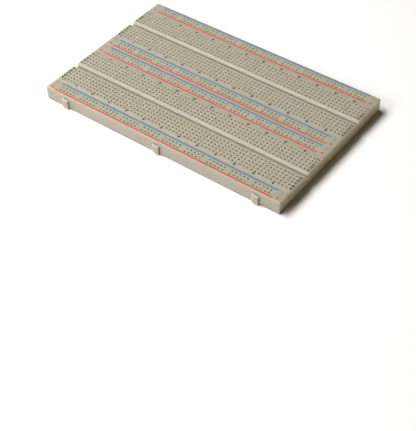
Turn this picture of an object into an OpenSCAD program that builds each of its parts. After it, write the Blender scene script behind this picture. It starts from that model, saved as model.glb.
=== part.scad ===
// Solderless breadboard with 1660 tie points: two 830-point boards side by side.
// Each board is a terminal strip between two bus strips, and every strip is its own
// moulding, hooked to the next one by three tabs.
//
// Frame: X runs along the board, Y from the front edge to the rear edge, Z up.
// The origin is the middle of the underside, where the two boards meet.

/* [Grid] */
// Spacing of the tie points, both ways
pitch = 2.54; // [2.5:0.01:2.6]
// Tie-point columns along a terminal strip
columns = 63; // [33:6:63]
// Tie points joined by one terminal clip
clip_points = 5; // [4:1:5]

/* [Housings] */
// Width of one 830-point board, front to rear
board_w = 53.34; // [53:0.01:54.5]
// Width of one bus strip
bus_w = 9.14; // [8.9:0.01:9.6]
// Height of the mouldings, without the backing
housing_h = 7.8; // [7.4:0.1:8.4]
// Thickness of the skin over the clips
skin_t = 1.3; // [1:0.1:1.6]
// Side of a square tie-point hole
hole_w = 1.1; // [0.9:0.05:1.3]
// Width of the centre groove of a terminal strip
groove_w = 4.1; // [3.6:0.1:4.6]
// Depth of the centre groove
groove_d = 2.35; // [1.5:0.05:3]
// Width of the straight slot at the bottom of the centre groove
groove_slot_w = 1.8; // [1.2:0.1:2.6]
// Depth of the sloping shoulders of the centre groove
groove_shoulder_d = 1.1; // [0.5:0.1:1.6]
// Radius of the upright corners
corner_r = 0.5; // [0.3:0.1:1]
// Gap between neighbouring mouldings
seam = 0.1; // [0.06:0.02:0.2]

/* [Tabs] */
// Distance from the middle tab to each outer one
tab_x = 67.5; // [60:0.5:72]
// Width of a tab across its tip
tab_tip_w = 4.4; // [4:0.1:5]
// Width of a tab at its root
tab_root_w = 3.9; // [3:0.1:4.2]
// How far a tab stands out of the front face
tab_out = 1.35; // [1:0.05:1.5]
// Height of a tab
tab_h = 5.2; // [4:0.1:5.8]
// Play round a tab in its slot
tab_play = 0.12; // [0.08:0.02:0.2]

/* [Clips] */
// Thickness of the spring strip
spring_t = 0.2; // [0.15:0.05:0.3]
// Outside width of a clip at its base
clip_w = 1.5; // [1.3:0.05:1.6]
// Height of a clip
clip_h = 6; // [5:0.1:6.2]
// Gap between the leaves where they grip a wire
grip_gap = 0.15; // [0.1:0.05:0.3]
// Width at the top of the notches between neighbouring leaves
notch_top = 1.2; // [0.8:0.1:1.6]
// Height of the base web below the notches
web_h = 1.2; // [0.8:0.1:2]

/* [Backing] */
// Thickness of the foam pads
foam_t = 0.65; // [0.5:0.05:1]
// Thickness of the release liners
liner_t = 0.15; // [0.1:0.01:0.2]
// How far a pad stops short of the moulding's edge
pad_inset = 0.2; // [0.1:0.05:0.5]

/* [Hidden] */
$fn = 32;

// Strips, front to rear: distance of each centre line from the origin
term_w = board_w - 2 * bus_w;
length = (columns + 2) * pitch;
y_front_bus = -board_w + bus_w / 2;
y_front_term = -board_w / 2;
y_mid_front_bus = -bus_w / 2;
y_mid_rear_bus = bus_w / 2;
y_rear_term = board_w / 2;
y_rear_bus = board_w - bus_w / 2;

// Tie points, measured from a strip's own centre
mid_column = (columns + 1) / 2;
column_x = [for (k = [1 : columns]) (k - mid_column) * pitch];
inner_row = 1.5 * pitch;
clip_row_y = inner_row + (clip_points - 1) / 2 * pitch;
row_y = [for (i = [0 : clip_points - 1]) inner_row + i * pitch];
bus_group = 5;
bus_groups = floor((columns - 3) / (bus_group + 1));
bus_x = [
    for (g = [0 : bus_groups - 1])
        for (i = [0 : bus_group - 1]) (3 + g * (bus_group + 1) + i - mid_column) * pitch
];
rail_y = pitch / 2;

// Clip cavities, open underneath
cavity_w = clip_w + 0.4;
term_cavity_l = (clip_points - 1) * pitch + cavity_w;
term_clip_l = term_cavity_l - 0.3;
bus_clip_l = bus_x[len(bus_x) - 1] - bus_x[0] + pitch - notch_top;
bus_cavity_l = bus_clip_l + 0.4;

// Levels
z_foam = liner_t;
z_housing = liner_t + foam_t;
z_skin = z_housing + housing_h - skin_t;
z_top = z_housing + housing_h;

// Notches in the pads under the slots
notch_w = tab_tip_w + 1;
notch_d = tab_out + 0.6;
tab_places = [-tab_x, 0, tab_x];

// ---- Shared shapes -------------------------------------------------------------

// Rectangle with round corners, centred
module rounded_plate(l, w, r) {
    square([l - 2 * r, w], center = true);
    square([l, w - 2 * r], center = true);
    for (x = [-1, 1])
        for (y = [-1, 1])
            translate([x * (l / 2 - r), y * (w / 2 - r)]) circle(r);
}

// Plan of a strip w wide, with half the seam taken off each long side
module strip_plan(w) {
    rounded_plate(length, w - seam, corner_r);
}

// Plan of the dovetail tabs, out of a face at y = 0 towards -Y, enlarged by grow
module tabs_plan(grow) {
    root = tab_root_w / 2 + grow;
    tip = tab_tip_w / 2 + grow;
    for (x = tab_places)
        translate([x, 0])
            polygon([[-root, corner_r], [root, corner_r], [root, 0],
                     [tip, -tab_out - grow], [-tip, -tab_out - grow], [-root, 0]]);
}

// Square holes at each of the xs and ys
module tie_holes(xs, ys) {
    for (x = xs)
        for (y = ys)
            translate([x, y]) square(hole_w, center = true);
}

// Moulding of a strip w wide: tabs in front, slots for the next strip's tabs behind.
// children(0) is the plan of the tie points, children(1) the plan of the clip cavities.
module strip_housing(w) {
    front_face = -(w - seam) / 2;
    next_face = (w + seam) / 2;
    difference() {
        union() {
            translate([0, 0, z_housing])
                linear_extrude(housing_h - skin_t)
                    difference() {
                        strip_plan(w);
                        children(1);
                    }
            translate([0, 0, z_skin])
                linear_extrude(skin_t)
                    difference() {
                        strip_plan(w);
                        children(0);
                    }
            translate([0, front_face, z_housing])
                linear_extrude(tab_h) tabs_plan(0);
        }
        translate([0, next_face, z_housing - 1])
            linear_extrude(tab_h + tab_play + 1) tabs_plan(tab_play);
    }
}

module bus_housing(y) {
    translate([0, y, 0])
        strip_housing(bus_w) {
            tie_holes(bus_x, [-rail_y, rail_y]);
            for (side = [-1, 1])
                translate([0, side * rail_y])
                    square([bus_cavity_l, cavity_w], center = true);
        }
}

// Section of the centre groove: two sloping shoulders over a straight slot
module groove_section() {
    lip = groove_w / 2;
    slot = groove_slot_w / 2;
    polygon([[-lip, 1], [-lip, 0], [-slot, -groove_shoulder_d], [-slot, -groove_d],
             [slot, -groove_d], [slot, -groove_shoulder_d], [lip, 0], [lip, 1]]);
}

module terminal_housing(y) {
    translate([0, y, 0])
        difference() {
            strip_housing(term_w) {
                tie_holes(column_x, concat(row_y, -row_y));
                for (x = column_x)
                    for (side = [-1, 1])
                        translate([x, side * clip_row_y])
                            square([cavity_w, term_cavity_l], center = true);
            }
            translate([0, 0, z_top])
                rotate([90, 0, 90])
                    linear_extrude(length + 2, center = true) groove_section();
        }
}

// Section of a clip: two leaves that lean together from a flat base up to the grip,
// each thinned to an edge at its tip
module clip_section() {
    base = clip_w / 2;
    grip = grip_gap / 2;
    polygon([[-base, 0], [base, 0], [grip, clip_h], [base - spring_t, spring_t],
             [spring_t - base, spring_t], [-grip, clip_h]]);
}

// Cutter between two leaves: a notch that is mid_w wide at the bottom and grows by
// notch_top on its way up, across clips that stand over a length of l
module leaf_notch(mid_w, l) {
    half = mid_w / 2;
    slope = notch_top / 2 / (clip_h - web_h);
    over = half + slope * (clip_h - web_h + 1);
    translate([0, 0, web_h])
        rotate([90, 0, 0])
            linear_extrude(l, center = true)
                polygon(concat(half > 0 ? [[-half, 0], [half, 0]] : [[0, 0]],
                               [[over, clip_h - web_h + 1], [-over, clip_h - web_h + 1]]));
}

// Five-point clips of one side of a terminal strip, one to each column
module terminal_clips(y) {
    color("silver")
        translate([0, y, z_housing])
            difference() {
                for (x = column_x)
                    translate([x, term_clip_l / 2, 0])
                        rotate([90, 0, 0]) linear_extrude(term_clip_l) clip_section();
                for (i = [1 : clip_points - 1])
                    translate([0, (i - clip_points / 2) * pitch, 0])
                        rotate([0, 0, 90]) leaf_notch(0, length);
            }
}

// One rail of a bus strip: a single long clip with its leaves in groups of five
module bus_clip(y) {
    color("silver")
        translate([0, y, z_housing])
            difference() {
                translate([-bus_clip_l / 2, 0, 0])
                    rotate([90, 0, 90]) linear_extrude(bus_clip_l) clip_section();
                for (i = [0 : len(bus_x) - 2])
                    translate([(bus_x[i] + bus_x[i + 1]) / 2, 0, 0])
                        leaf_notch(bus_x[i + 1] - bus_x[i] - pitch, 2 * clip_w);
            }
}

// Plan of the backing of a strip w wide, notched where the slots open downwards
module pad_plan(w) {
    difference() {
        rounded_plate(length - 2 * pad_inset, w - 2 * pad_inset, corner_r);
        for (x = tab_places)
            translate([x - notch_w / 2, w / 2 - notch_d]) square([notch_w, notch_d]);
    }
}

module foam_pad(y, w) {
    color("#d9d8d0")
        translate([0, y, z_foam]) linear_extrude(foam_t) pad_plan(w);
}

module release_liner(y, w) {
    color("#efe7cf")
        translate([0, y, 0]) linear_extrude(liner_t) pad_plan(w);
}

// ---- Front bus strip -----------------------------------------------------------
module front_bus_housing() { color("#cfccb4") bus_housing(y_front_bus); }
module front_bus_plus_clip() { bus_clip(y_front_bus - rail_y); }
module front_bus_minus_clip() { bus_clip(y_front_bus + rail_y); }
module front_bus_foam() { foam_pad(y_front_bus, bus_w); }
module front_bus_liner() { release_liner(y_front_bus, bus_w); }

// ---- Front terminal strip ------------------------------------------------------
module front_terminal_housing() { color("#cfccb4") terminal_housing(y_front_term); }
module front_clips_a_to_e() { terminal_clips(y_front_term - clip_row_y); }
module front_clips_f_to_j() { terminal_clips(y_front_term + clip_row_y); }
module front_terminal_foam() { foam_pad(y_front_term, term_w); }
module front_terminal_liner() { release_liner(y_front_term, term_w); }

// ---- Bus strip behind it, at the joint of the two boards -----------------------
module mid_front_bus_housing() { color("#cfccb4") bus_housing(y_mid_front_bus); }
module mid_front_bus_plus_clip() { bus_clip(y_mid_front_bus - rail_y); }
module mid_front_bus_minus_clip() { bus_clip(y_mid_front_bus + rail_y); }
module mid_front_bus_foam() { foam_pad(y_mid_front_bus, bus_w); }
module mid_front_bus_liner() { release_liner(y_mid_front_bus, bus_w); }

// ---- First bus strip of the rear board -----------------------------------------
module mid_rear_bus_housing() { color("#cfccb4") bus_housing(y_mid_rear_bus); }
module mid_rear_bus_plus_clip() { bus_clip(y_mid_rear_bus - rail_y); }
module mid_rear_bus_minus_clip() { bus_clip(y_mid_rear_bus + rail_y); }
module mid_rear_bus_foam() { foam_pad(y_mid_rear_bus, bus_w); }
module mid_rear_bus_liner() { release_liner(y_mid_rear_bus, bus_w); }

// ---- Rear terminal strip -------------------------------------------------------
module rear_terminal_housing() { color("#cfccb4") terminal_housing(y_rear_term); }
module rear_clips_a_to_e() { terminal_clips(y_rear_term - clip_row_y); }
module rear_clips_f_to_j() { terminal_clips(y_rear_term + clip_row_y); }
module rear_terminal_foam() { foam_pad(y_rear_term, term_w); }
module rear_terminal_liner() { release_liner(y_rear_term, term_w); }

// ---- Rear bus strip ------------------------------------------------------------
module rear_bus_housing() { color("#cfccb4") bus_housing(y_rear_bus); }
module rear_bus_plus_clip() { bus_clip(y_rear_bus - rail_y); }
module rear_bus_minus_clip() { bus_clip(y_rear_bus + rail_y); }
module rear_bus_foam() { foam_pad(y_rear_bus, bus_w); }
module rear_bus_liner() { release_liner(y_rear_bus, bus_w); }

front_bus_housing();
front_bus_plus_clip();
front_bus_minus_clip();
front_bus_foam();
front_bus_liner();
front_terminal_housing();
front_clips_a_to_e();
front_clips_f_to_j();
front_terminal_foam();
front_terminal_liner();
mid_front_bus_housing();
mid_front_bus_plus_clip();
mid_front_bus_minus_clip();
mid_front_bus_foam();
mid_front_bus_liner();
mid_rear_bus_housing();
mid_rear_bus_plus_clip();
mid_rear_bus_minus_clip();
mid_rear_bus_foam();
mid_rear_bus_liner();
rear_terminal_housing();
rear_clips_a_to_e();
rear_clips_f_to_j();
rear_terminal_foam();
rear_terminal_liner();
rear_bus_housing();
rear_bus_plus_clip();
rear_bus_minus_clip();
rear_bus_foam();
rear_bus_liner();
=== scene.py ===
"""Solderless breadboard of 1660 tie points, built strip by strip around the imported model."""
import math

import bmesh
import bpy
from mathutils import Matrix, Vector


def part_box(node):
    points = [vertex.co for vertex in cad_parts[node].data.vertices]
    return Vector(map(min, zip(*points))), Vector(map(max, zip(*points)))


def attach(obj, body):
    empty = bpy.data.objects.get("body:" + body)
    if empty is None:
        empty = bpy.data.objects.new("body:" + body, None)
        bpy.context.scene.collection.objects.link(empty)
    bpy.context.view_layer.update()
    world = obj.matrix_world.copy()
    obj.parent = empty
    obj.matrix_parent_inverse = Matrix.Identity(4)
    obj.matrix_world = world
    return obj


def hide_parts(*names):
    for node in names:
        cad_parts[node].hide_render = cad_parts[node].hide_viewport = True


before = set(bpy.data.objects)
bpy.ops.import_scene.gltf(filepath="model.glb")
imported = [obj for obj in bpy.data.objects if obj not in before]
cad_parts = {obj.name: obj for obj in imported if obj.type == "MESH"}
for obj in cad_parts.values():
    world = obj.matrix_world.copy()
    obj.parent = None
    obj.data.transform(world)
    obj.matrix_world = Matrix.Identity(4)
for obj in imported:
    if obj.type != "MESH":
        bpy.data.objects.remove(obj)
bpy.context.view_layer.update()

# ---- Camera --------------------------------------------------------------------
# Stands in front of the right-hand end and looks down at the board from about half
# a metre, through a short telephoto lens.
camera_place = Vector((0.2825, -0.3895, 0.3966))
camera_target = Vector((0.0575, -0.0828, 0.0086))
camera = bpy.data.objects.new("camera", bpy.data.cameras.new("camera"))
camera.location = camera_place
camera.rotation_euler = (camera_target - camera_place).to_track_quat("-Z", "Y").to_euler()
camera.data.lens = 87.45
camera.data.sensor_width = 36.0
camera.data.clip_end = 20.0
bpy.context.scene.collection.objects.link(camera)
bpy.context.scene.camera = camera

# ---- Mouldings of the four bus strips ------------------------------------------
# Each is one injection moulding in ivory ABS: a skin with two rows of fifty square
# tie points, over two long channels that are open underneath for the contact rails.
# Three dovetail tabs stand out in front, and three slots behind take the next ones.
mm = 0.001
pitch = 2.54 * mm
columns = 63
skin = 1.3 * mm
hole = 1.0 * mm
lead_in = 1.18 * mm
lead_in_depth = 0.12 * mm
channel_wall = 0.64 * mm
edge_radius = 0.14 * mm
tab_spread = 67.5 * mm
tab_out = 1.35 * mm
tab_root = 3.9 * mm
tab_tip = 4.4 * mm
tab_height = 5.2 * mm
tab_play = 0.12 * mm
tab_rounding = 0.5 * mm
tab_sink = 0.5 * mm
strip_seam = 0.1 * mm
near = 0.01 * mm
weld = 0.001 * mm
smooth_below = math.radians(35)
rounded_above = math.radians(40)
slot_overrun = 1 * mm
half_grid = columns * pitch / 2


def surface_group():
    """Shader group of a moulded or printed surface: two tones, cloudy gloss, fine grain."""
    group = bpy.data.node_groups.new("cloudy_surface", "ShaderNodeTree")
    sockets = group.interface
    for name, kind, value in (("Tone A", "NodeSocketColor", (0.5, 0.5, 0.5, 1.0)),
                              ("Tone B", "NodeSocketColor", (0.5, 0.5, 0.5, 1.0)),
                              ("Cloud Scale", "NodeSocketFloat", 40.0),
                              ("Gloss Low", "NodeSocketFloat", 0.4),
                              ("Gloss High", "NodeSocketFloat", 0.5),
                              ("Grain Scale", "NodeSocketFloat", 6000.0),
                              ("Grain Height", "NodeSocketFloat", 0.1)):
        sockets.new_socket(name, in_out="INPUT", socket_type=kind).default_value = value
    sockets.new_socket("Color", in_out="OUTPUT", socket_type="NodeSocketColor")
    sockets.new_socket("Roughness", in_out="OUTPUT", socket_type="NodeSocketFloat")
    sockets.new_socket("Normal", in_out="OUTPUT", socket_type="NodeSocketVector")
    nodes, links = group.nodes, group.links
    given = nodes.new("NodeGroupInput")
    out = nodes.new("NodeGroupOutput")
    place = nodes.new("ShaderNodeTexCoord")
    clouds = nodes.new("ShaderNodeTexNoise")
    clouds.inputs["Detail"].default_value = 4.0
    links.new(place.outputs["Object"], clouds.inputs["Vector"])
    links.new(given.outputs["Cloud Scale"], clouds.inputs["Scale"])
    tone = nodes.new("ShaderNodeMix")
    tone.data_type = "RGBA"
    links.new(clouds.outputs["Fac"], tone.inputs["Factor"])
    links.new(given.outputs["Tone A"], tone.inputs["A"])
    links.new(given.outputs["Tone B"], tone.inputs["B"])
    links.new(tone.outputs["Result"], out.inputs["Color"])
    gloss = nodes.new("ShaderNodeMapRange")
    links.new(clouds.outputs["Fac"], gloss.inputs["Value"])
    links.new(given.outputs["Gloss Low"], gloss.inputs["To Min"])
    links.new(given.outputs["Gloss High"], gloss.inputs["To Max"])
    links.new(gloss.outputs["Result"], out.inputs["Roughness"])
    grain = nodes.new("ShaderNodeTexNoise")
    grain.inputs["Detail"].default_value = 2.0
    links.new(place.outputs["Object"], grain.inputs["Vector"])
    links.new(given.outputs["Grain Scale"], grain.inputs["Scale"])
    bump = nodes.new("ShaderNodeBump")
    bump.inputs["Distance"].default_value = 0.00005
    links.new(given.outputs["Grain Height"], bump.inputs["Strength"])
    links.new(grain.outputs["Fac"], bump.inputs["Height"])
    links.new(bump.outputs["Normal"], out.inputs["Normal"])
    return group


cloudy_surface = surface_group()


def surfaced(name, tone_a, tone_b, cloud_scale, gloss, grain_scale, grain_height):
    """Material whose colour, gloss and grain come from the cloudy surface group."""
    material = bpy.data.materials.new(name)
    material.use_nodes = True
    nodes, links = material.node_tree.nodes, material.node_tree.links
    shader = nodes["Principled BSDF"]
    surface = nodes.new("ShaderNodeGroup")
    surface.node_tree = cloudy_surface
    surface.inputs["Tone A"].default_value = (*tone_a, 1.0)
    surface.inputs["Tone B"].default_value = (*tone_b, 1.0)
    surface.inputs["Cloud Scale"].default_value = cloud_scale
    surface.inputs["Gloss Low"].default_value = gloss[0]
    surface.inputs["Gloss High"].default_value = gloss[1]
    surface.inputs["Grain Scale"].default_value = grain_scale
    surface.inputs["Grain Height"].default_value = grain_height
    links.new(surface.outputs["Color"], shader.inputs["Base Color"])
    links.new(surface.outputs["Roughness"], shader.inputs["Roughness"])
    links.new(surface.outputs["Normal"], shader.inputs["Normal"])
    return material


ivory_abs = surfaced("ivory_abs", (0.375, 0.35, 0.267), (0.405, 0.385, 0.302),
                     55.0, (0.38, 0.5), 5000.0, 0.12)
shader = ivory_abs.node_tree.nodes["Principled BSDF"]
shader.inputs["Subsurface Weight"].default_value = 0.8
shader.inputs["Subsurface Radius"].default_value = (1.0, 0.85, 0.6)
shader.inputs["Subsurface Scale"].default_value = 0.0035
shader.inputs["IOR"].default_value = 1.5


def finished(name, bm, material, body):
    """Puts a finished bmesh in the scene as one piece that rides on a body."""
    mesh = bpy.data.meshes.new(name)
    bm.to_mesh(mesh)
    bm.free()
    mesh.shade_smooth()
    mesh.set_sharp_from_angle(angle=smooth_below)
    mesh.materials.append(material)
    piece = bpy.data.objects.new(name, mesh)
    bpy.context.scene.collection.objects.link(piece)
    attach(piece, body)
    return piece


def sheet_of_cells(bm, rows, y, z):
    """Flat sheet of pitch-sized cells, 63 columns by so many rows, centred on y."""
    place = Matrix.Translation((0, y, z)) @ Matrix.Diagonal((columns * pitch, rows * pitch, 1, 1))
    made = bmesh.ops.create_grid(bm, x_segments=columns, y_segments=rows, size=0.5, matrix=place)
    return list({face for vert in made["verts"] for face in vert.link_faces})


def cell_key(face):
    """Column and row number of the cell that a face lies in, counted from the middle."""
    middle = face.calc_center_median()
    return round(middle.x / pitch), math.floor(middle.y / pitch)


def sink_tie_points(bm, faces):
    """Turns flat cells into square holes with sloping lead-ins. Gives the open ends."""
    bmesh.ops.inset_individual(bm, faces=faces, thickness=(pitch - lead_in) / 2,
                               use_even_offset=True)
    bmesh.ops.inset_individual(bm, faces=faces, thickness=(lead_in - hole) / 2,
                               depth=-lead_in_depth, use_even_offset=True)
    ends = bmesh.ops.extrude_discrete_faces(bm, faces=faces)["faces"]
    bmesh.ops.translate(bm, verts=list({v for f in ends for v in f.verts}),
                        vec=(0, 0, lead_in_depth - skin))
    return ends


def sink_channel(bm, faces, height):
    """Presses a channel up into the underside. Gives the cells of its ceiling."""
    bmesh.ops.inset_region(bm, faces=faces, thickness=channel_wall / 2, use_boundary=True,
                           use_even_offset=True)
    edges = list({edge for face in faces for edge in face.edges})
    made = bmesh.ops.extrude_face_region(bm, geom=faces + edges)["geom"]
    bmesh.ops.translate(bm, verts=[g for g in made if isinstance(g, bmesh.types.BMVert)],
                        vec=(0, 0, height))
    return [g for g in made if isinstance(g, bmesh.types.BMFace)]


def run_out(bm, y, z, *moves):
    """Draws the long open edge at y, z out through each of the moves in turn."""
    edges = [e for e in bm.edges if e.is_boundary and
             all(abs(v.co.y - y) < near and abs(v.co.z - z) < near for v in e.verts)]
    for move in moves:
        made = bmesh.ops.extrude_edge_only(bm, edges=edges)["geom"]
        edges = [g for g in made if isinstance(g, bmesh.types.BMEdge)]
        bmesh.ops.translate(bm, verts=list({v for e in edges for v in e.verts}), vec=move)


def dovetails(y, out, grow, bottom, top, radius):
    """Three dovetail blocks side by side, out of a face at y towards the front."""
    bm = bmesh.new()
    root, tip = tab_root / 2 + grow, tab_tip / 2 + grow
    for x in (-tab_spread, 0, tab_spread):
        outline = [(-root, tab_sink), (-root, 0), (-tip, -out),
                   (tip, -out), (root, 0), (root, tab_sink)]
        corners = [bm.verts.new((x + dx, y + dy, bottom)) for dx, dy in outline]
        base = bm.faces.new(corners)
        made = bmesh.ops.extrude_face_region(bm, geom=[base])["geom"]
        bmesh.ops.translate(bm, verts=[g for g in made if isinstance(g, bmesh.types.BMVert)],
                            vec=(0, 0, top - bottom))
    bmesh.ops.holes_fill(bm, edges=[e for e in bm.edges if e.is_boundary])
    bmesh.ops.recalc_face_normals(bm, faces=bm.faces[:])
    if radius:
        front = [e for e in bm.edges if all(v.co.y < y - 0.9 * out for v in e.verts)
                 and any(v.co.z > bottom + radius for v in e.verts)]
        bmesh.ops.bevel(bm, geom=front, offset=radius, segments=3, profile=0.5,
                        affect="EDGES", material=-1, clamp_overlap=True)
    mesh = bpy.data.meshes.new("dovetails")
    bm.to_mesh(mesh)
    bm.free()
    block = bpy.data.objects.new("dovetails", mesh)
    bpy.context.scene.collection.objects.link(block)
    return block


def moulding(name, rows, sheets, tie_points, channels, groove=None):
    """Moulded housing of a strip, centred on the strip's own middle line.

    name is a CAD node that gives the outside sizes. sheets are the centre lines of the
    fields of cells, each rows deep. tie_points and channels take a cell's column and
    row: the first says whether the cell has a hole, and the second gives the channel
    that the cell belongs to, or None. groove is the width, the slot's width, the
    shoulders' depth and the whole depth of the groove between two fields.
    """
    low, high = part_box(name)
    bottom, top = low.z, high.z
    half_depth = (high.y - low.y - tab_out) / 2
    field = rows * pitch / 2
    bm = bmesh.new()
    hole_ends = {}
    ceilings = {}
    for line in sheets:
        cells = sheet_of_cells(bm, rows, line, top)
        with_holes = [f for f in cells if tie_points(*cell_key(f))]
        for face in sink_tie_points(bm, with_holes):
            hole_ends[cell_key(face)] = face
    for line in sheets:
        cells = sheet_of_cells(bm, rows, line, bottom)
        bmesh.ops.reverse_faces(bm, faces=cells)
        groups = {}
        for face in cells:
            groups.setdefault(channels(*cell_key(face)), []).append(face)
        groups.pop(None, None)
        for group in groups.values():
            for face in sink_channel(bm, group, top - skin - bottom):
                ceilings[cell_key(face)] = face
    for key, end in hole_ends.items():
        loops = list(end.edges) + list(ceilings[key].edges)
        bmesh.ops.delete(bm, geom=[end, ceilings[key]], context="FACES_ONLY")
        bmesh.ops.bridge_loops(bm, edges=loops)
    outer = sheets[-1] + field
    height = Vector((0, 0, top - bottom))
    margin = Vector((0, half_depth - outer, 0))
    run_out(bm, -outer, top, -margin, -height, margin)
    run_out(bm, outer, top, margin, -height, -margin)
    if groove:
        wide, slot, shoulder, deep = groove
        inner = sheets[-1] - field
        lip = Vector((0, inner - wide / 2, 0))
        slope = (wide - slot) / 2
        wall = Vector((0, 0, deep - shoulder))
        run_out(bm, -inner, top, lip, Vector((0, slope, -shoulder)), -wall,
                Vector((0, slot, 0)), wall, Vector((0, slope, shoulder)), lip)
        run_out(bm, -inner, bottom, Vector((0, 2 * inner, 0)))
    bmesh.ops.remove_doubles(bm, verts=bm.verts[:], dist=weld)
    for side in (-1, 1):
        rim = [e for e in bm.edges if e.is_boundary and e.verts[0].co.x * side > half_grid / 2]
        made = bmesh.ops.extrude_edge_only(bm, edges=rim)["geom"]
        rim = [g for g in made if isinstance(g, bmesh.types.BMEdge)]
        bmesh.ops.translate(bm, verts=list({v for e in rim for v in e.verts}),
                            vec=(side * (high.x - half_grid), 0, 0))
        bmesh.ops.contextual_create(bm, geom=rim)
    bmesh.ops.recalc_face_normals(bm, faces=bm.faces[:])
    rim = []
    for edge in bm.edges:
        middle = (edge.verts[0].co + edge.verts[1].co) / 2
        at_end = abs(middle.x) > high.x - near
        at_side = abs(middle.y) > half_depth - near
        at_groove = (groove and middle.z > top - deep + near
                     and abs(middle.y) < wide / 2 + near)
        if (at_end or at_side or at_groove) and edge.calc_face_angle(0) > rounded_above:
            rim.append(edge)
    bmesh.ops.bevel(bm, geom=rim, offset=edge_radius, segments=2, profile=0.5,
                    affect="EDGES", material=-1, clamp_overlap=True)
    mesh = bpy.data.meshes.new(name)
    bm.to_mesh(mesh)
    bm.free()
    blank = bpy.data.objects.new(name + "_blank", mesh)
    bpy.context.scene.collection.objects.link(blank)
    slots = dovetails(half_depth + strip_seam, tab_out + tab_play, tab_play,
                      bottom - slot_overrun, bottom + tab_height + tab_play, 0)
    tabs = dovetails(-half_depth, tab_out, 0, bottom, bottom + tab_height, tab_rounding)
    for block, operation in ((slots, "DIFFERENCE"), (tabs, "UNION")):
        change = blank.modifiers.new(operation.lower(), "BOOLEAN")
        change.object = block
        change.operation = operation
        change.solver = "EXACT"
    graph = bpy.context.evaluated_depsgraph_get()
    joined = bpy.data.meshes.new_from_object(blank.evaluated_get(graph))
    for block in (blank, slots, tabs):
        bpy.data.objects.remove(block)
    return joined


def bus_tie_point(column, row):
    """Ten groups of five, with a column left out between groups."""
    return abs(column) <= 29 and (column + 29) % 6 != 5


def bus_channel(column, row):
    """One long channel under each row, for its contact rail."""
    return row if abs(column) <= 29 else None


def set_in_place(mesh, strip):
    """Copy of a moulding on its strip's middle line, in place of the CAD housing."""
    node = strip + "_housing"
    low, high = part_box(node)
    bm = bmesh.new()
    bm.from_mesh(mesh)
    bmesh.ops.translate(bm, verts=bm.verts[:], vec=(0, (low.y + tab_out + high.y) / 2, 0))
    housing = finished(node + "_moulded", bm, ivory_abs, strip + "_strip")
    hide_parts(node)


bus_strips = ["front_bus", "mid_front_bus", "mid_rear_bus", "rear_bus"]
bus_moulding = moulding("front_bus_housing", 2, [0], bus_tie_point, bus_channel)
for strip in bus_strips:
    set_in_place(bus_moulding, strip)

# ---- Mouldings of the two terminal strips --------------------------------------
# The same ivory ABS: sixty-three columns of five tie points on each side of a centre
# groove with sloping shoulders, and a short channel under each group of five.
groove_width = 4.1 * mm
groove_slot = 1.8 * mm
groove_shoulder = 1.1 * mm
groove_depth = 2.35 * mm
points = 5
field_line = 3.5 * pitch


def terminal_tie_point(column, row):
    """Every cell of the two fields has a tie point."""
    return True


def terminal_channel(column, row):
    """A channel of its own for each group of five."""
    return column, row > 0


terminal_strips = ["front_terminal", "rear_terminal"]
terminal_moulding = moulding("front_terminal_housing", points, [-field_line, field_line],
                             terminal_tie_point, terminal_channel,
                             (groove_width, groove_slot, groove_shoulder, groove_depth))
for strip in terminal_strips:
    set_in_place(terminal_moulding, strip)

# ---- Printed marks -------------------------------------------------------------
# Screen-printed ink on the strips' upper faces: a red and a blue line along each bus
# strip with a plus and a minus at both ends, column figures along the outer rows of
# the terminal strips, and a row letter at both ends of each row.
ink = 0.02 * mm
line_width = 1.0 * mm
line_offset = 3.22 * mm
red_half = 77.0 * mm
blue_half = 76.4 * mm
sign_x = 79.6 * mm
sign_inset = 1.05 * mm
sign_long = 1.85 * mm
sign_wide = 0.6 * mm
minus_wide = 0.4 * mm
figure_height = 1.15 * mm
letter_height = 1.6 * mm
figure_gap = 1.85 * mm
figure_bold = 0.1 * mm
letter_bold = 0.12 * mm
letter_x = 81.1 * mm
capital_share = 0.7
letter_spacing = 0.86
bar_rounding = 0.2
glyph_weld = 0.002 * mm

red_ink = surfaced("red_ink", (0.53, 0.066, 0.040), (0.60, 0.086, 0.055),
                   900.0, (0.4, 0.55), 9000.0, 0.15)
blue_ink = surfaced("blue_ink", (0.095, 0.21, 0.295), (0.125, 0.255, 0.36),
                    900.0, (0.4, 0.55), 9000.0, 0.15)
black_ink = surfaced("black_ink", (0.025, 0.018, 0.010), (0.04, 0.03, 0.018),
                     900.0, (0.4, 0.6), 9000.0, 0.15)


def bar(bm, x, y, z, long, wide):
    """Flat printed bar with rounded corners, long along X and wide along Y."""
    place = Matrix.Translation((x, y, z)) @ Matrix.Diagonal((long, wide, ink, 1))
    made = bmesh.ops.create_cube(bm, size=1.0, matrix=place)
    upright = {e for v in made["verts"] for e in v.link_edges
               if abs(e.verts[0].co.z - e.verts[1].co.z) > ink / 2}
    bmesh.ops.bevel(bm, geom=list(upright), offset=bar_rounding * min(long, wide),
                    segments=2, profile=0.5, affect="EDGES", material=-1, clamp_overlap=True)


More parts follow.
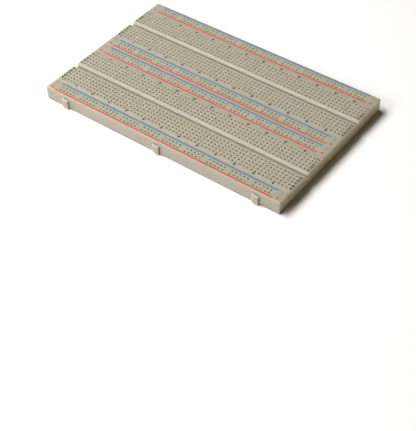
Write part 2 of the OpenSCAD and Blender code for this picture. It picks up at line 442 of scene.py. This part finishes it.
def lettering(text, height, bold):
    """Solid figures or letter, centred, that read from the right-hand end."""
    curve = bpy.data.curves.new(text, "FONT")
    curve.body = text
    curve.size = height / capital_share
    curve.offset = bold
    curve.space_character = letter_spacing
    curve.extrude = ink / 2
    curve.resolution_u = 2
    glyph = bpy.data.objects.new(text, curve)
    bpy.context.scene.collection.objects.link(glyph)
    graph = bpy.context.evaluated_depsgraph_get()
    mesh = bpy.data.meshes.new_from_object(glyph.evaluated_get(graph))
    bpy.data.objects.remove(glyph)
    bpy.data.curves.remove(curve)
    bm = bmesh.new()
    bm.from_mesh(mesh)
    bmesh.ops.remove_doubles(bm, verts=bm.verts[:], dist=glyph_weld)
    low = Vector([min(v.co[i] for v in bm.verts) for i in range(3)])
    high = Vector([max(v.co[i] for v in bm.verts) for i in range(3)])
    bmesh.ops.translate(bm, verts=bm.verts[:], vec=-(low + high) / 2)
    bmesh.ops.rotate(bm, verts=bm.verts[:], matrix=Matrix.Rotation(math.pi / 2, 3, "Z"))
    bm.to_mesh(mesh)
    bm.free()
    return mesh


def print_at(bm, mesh, x, y, z):
    """Adds a copy of some lettering to the marks of a strip."""
    old = len(bm.verts)
    bm.from_mesh(mesh)
    bm.verts.ensure_lookup_table()
    bmesh.ops.translate(bm, verts=bm.verts[old:], vec=(x, y, z))


for strip in bus_strips:
    low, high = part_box(strip + "_housing")
    centre = (low.y + tab_out + high.y) / 2
    level = high.z + ink / 4
    red_marks = bmesh.new()
    blue_marks = bmesh.new()
    bar(red_marks, 0, centre - line_offset, level, 2 * red_half, line_width)
    bar(blue_marks, 0, centre + line_offset, level, 2 * blue_half, line_width)
    for x in (-sign_x, sign_x):
        plus_y = centre - line_offset + sign_inset
        bar(red_marks, x, plus_y, level, sign_long, sign_wide)
        bar(red_marks, x, plus_y, level + ink / 8, sign_wide, sign_long)
        bar(blue_marks, x, centre + line_offset - sign_inset, level, minus_wide, sign_long)
    finished(strip + "_red_marks", red_marks, red_ink, strip + "_strip")
    finished(strip + "_blue_marks", blue_marks, blue_ink, strip + "_strip")

letters = [lettering(name, letter_height, letter_bold) for name in "ABCDEFGHIJ"]
figures = {column: lettering(str(column), figure_height, figure_bold)
           for column in [1] + list(range(5, columns, 5))}
for strip in terminal_strips:
    low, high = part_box(strip + "_housing")
    centre = (low.y + tab_out + high.y) / 2
    level = high.z + ink / 4
    marks = bmesh.new()
    for column, mesh in figures.items():
        x = (column - (columns + 1) / 2) * pitch
        for side in (-1, 1):
            y = centre + side * ((1.5 + points - 1) * pitch + figure_gap)
            print_at(marks, mesh, x, y, level)
    for number, mesh in enumerate(letters):
        row = number - points + 0.5
        y = centre + (row + math.copysign(1, row)) * pitch
        for x in (-letter_x, letter_x):
            print_at(marks, mesh, x, y, level)
    finished(strip + "_marks", marks, black_ink, strip + "_strip")

# ---- Contacts ------------------------------------------------------------------
# Clips folded from thin plated spring strip, pushed up into the channels from below.
# Each grips a wire between pairs of leaves right under its tie points.
spring_metal = surfaced("spring_metal", (0.60, 0.59, 0.56), (0.72, 0.71, 0.68),
                        400.0, (0.22, 0.38), 3000.0, 0.2)
shader = spring_metal.node_tree.nodes["Principled BSDF"]
shader.inputs["Metallic"].default_value = 1.0
for name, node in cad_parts.items():
    if "clip" in name:
        node.data.materials.clear()
        node.data.materials.append(spring_metal)

# ---- Backing -------------------------------------------------------------------
# A strip of closed-cell foam, 0.65 mm thick and sticky on both faces, closes each
# moulding from below. It is die-cut, so its edges are a little pressed and rounded.
foam_rim = 0.2 * mm
flat_bend = math.radians(1)
foam_tape = surfaced("foam_tape", (0.27, 0.275, 0.275), (0.34, 0.345, 0.34),
                     1500.0, (0.75, 0.9), 2500.0, 0.9)
for strip in bus_strips + terminal_strips:
    node = strip + "_foam"
    bm = bmesh.new()
    bm.from_mesh(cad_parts[node].data)
    bmesh.ops.remove_doubles(bm, verts=bm.verts[:], dist=weld)
    bmesh.ops.dissolve_limit(bm, angle_limit=flat_bend, verts=bm.verts[:],
                             edges=bm.edges[:], delimit=set())
    rim = [e for e in bm.edges if abs(e.verts[0].co.z - e.verts[1].co.z) < near]
    bmesh.ops.bevel(bm, geom=rim, offset=foam_rim, segments=3, profile=0.5,
                    affect="EDGES", material=-1, clamp_overlap=True)
    pad = finished(node + "_strip", bm, foam_tape, strip + "_strip")
    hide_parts(node)

# ---- Release liners ------------------------------------------------------------
# Waxed paper over the lower adhesive, cut to the same outline as the foam. It stays
# on until the board is stuck down.
liner_paper = surfaced("liner_paper", (0.42, 0.42, 0.40), (0.50, 0.50, 0.475),
                       30.0, (0.45, 0.6), 700.0, 0.25)
for strip in bus_strips + terminal_strips:
    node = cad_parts[strip + "_liner"]
    node.data.materials.clear()
    node.data.materials.append(liner_paper)

# ---- Floor and light -----------------------------------------------------------
# A plain white table under one wide soft light from the left, with a weaker one in
# front, a low warm one beyond the right-hand end and a faint even surround.
floor_half = 3.0
floor_mesh = bpy.data.meshes.new("floor")
floor_bm = bmesh.new()
bmesh.ops.create_grid(floor_bm, x_segments=1, y_segments=1, size=floor_half)
floor_bm.to_mesh(floor_mesh)
floor_bm.free()
floor = bpy.data.objects.new("floor", floor_mesh)
bpy.context.scene.collection.objects.link(floor)
floor_paint = surfaced("white_table", (0.90, 0.90, 0.90), (0.92, 0.92, 0.92),
                       3.0, (0.7, 0.8), 400.0, 0.02)
floor_mesh.materials.append(floor_paint)


def soft_light(name, place, target, size_x, size_y, power, colour):
    """Rectangular softbox that faces its target."""
    lamp = bpy.data.lights.new(name, "AREA")
    lamp.shape = "RECTANGLE"
    lamp.size = size_x
    lamp.size_y = size_y
    lamp.energy = power
    lamp.color = colour
    light = bpy.data.objects.new(name, lamp)
    light.location = place
    light.rotation_euler = (Vector(target) - Vector(place)).to_track_quat("-Z", "Y").to_euler()
    bpy.context.scene.collection.objects.link(light)


soft_light("left_softbox", (-0.73, -0.26, 1.2), (0, 0, 0), 1.2, 0.65, 28.5, (1.0, 0.99, 0.97))
soft_light("front_softbox", (-0.42, -1.08, 0.70), (0, 0, 0), 0.6, 0.4, 8.0, (1.0, 0.92, 0.98))
soft_light("right_card", (1.0, 0.03, 0.075), (0, 0, 0), 0.8, 0.1, 1.3, (1.0, 0.62, 0.10))

world = bpy.data.worlds.new("surround")
world.use_nodes = True
world.node_tree.nodes["Background"].inputs["Color"].default_value = (1.0, 0.93, 0.82, 1.0)
world.node_tree.nodes["Background"].inputs["Strength"].default_value = 0.028
bpy.context.scene.world = world
bpy.context.scene.view_settings.view_transform = "Standard"
bpy.context.scene.view_settings.look = "None"
